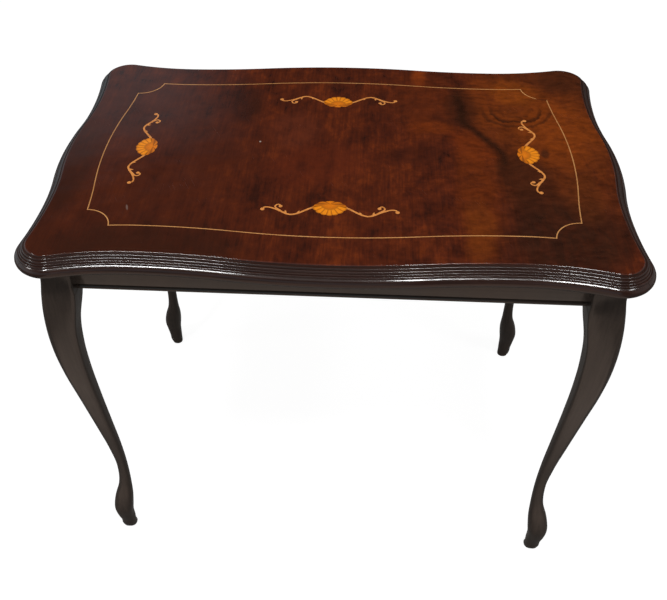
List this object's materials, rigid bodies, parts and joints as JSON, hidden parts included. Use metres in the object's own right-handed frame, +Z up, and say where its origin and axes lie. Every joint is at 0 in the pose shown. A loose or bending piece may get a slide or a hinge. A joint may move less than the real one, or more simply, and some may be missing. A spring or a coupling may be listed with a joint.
{
  "type": "tea table",
  "caption": "Small serpentine-edged tea table with an inlaid flat top, a reeded edge moulding, plain aprons and cabriole legs.",
  "frame": {"origin": "on the floor under the middle of the top", "axes": "+Z up, +X along the table's length, front towards -Y"},
  "size_m": [0.706, 0.4576, 0.59],
  "materials": {
    "show_veneer": "dark red-brown figured veneer under clear gloss lacquer",
    "boxwood_line": "pale boxwood under clear gloss lacquer",
    "shell_marquetry": "golden sand-shaded veneer under clear gloss lacquer",
    "scroll_marquetry": "light orange veneer under clear gloss lacquer",
    "dark_polish": "very dark brown stain under satin to gloss lacquer",
    "bare_wood": "unfinished wood of the hidden pieces",
    "screw_steel": "plain steel wood screws"
  },
  "bodies": {
    "root": {"backing_veneer": "bare_wood", "border_veneer": "show_veneer", "corner_brace_back_left": "bare_wood", "corner_brace_back_right": "bare_wood", "corner_brace_front_left": "bare_wood", "corner_brace_front_right": "bare_wood", "edge_moulding_back": "dark_polish", "edge_moulding_front": "dark_polish", "edge_moulding_left": "dark_polish", "edge_moulding_right": "dark_polish", "field_veneer": "show_veneer", "leg_back_left": "dark_polish", "leg_back_right": "dark_polish", "leg_front_left": "dark_polish", "leg_front_right": "dark_polish", "leg_screws": "screw_steel", "rail_back": "dark_polish", "rail_dowels": "bare_wood", "rail_front": "dark_polish", "rail_left": "dark_polish", "rail_right": "dark_polish", "scroll_inlay_back": "scroll_marquetry", "scroll_inlay_front": "scroll_marquetry", "scroll_inlay_left": "scroll_marquetry", "scroll_inlay_right": "scroll_marquetry", "shell_inlay_back": "shell_marquetry", "shell_inlay_front": "shell_marquetry", "shell_inlay_left": "shell_marquetry", "shell_inlay_right": "shell_marquetry", "stringing_back": "boxwood_line", "stringing_corner_back_left": "boxwood_line", "stringing_corner_back_right": "boxwood_line", "stringing_corner_front_left": "boxwood_line", "stringing_corner_front_right": "boxwood_line", "stringing_front": "boxwood_line", "stringing_left": "boxwood_line", "stringing_right": "boxwood_line", "top_core": "bare_wood", "top_screws": "screw_steel"}
  },
  "joints": []
}
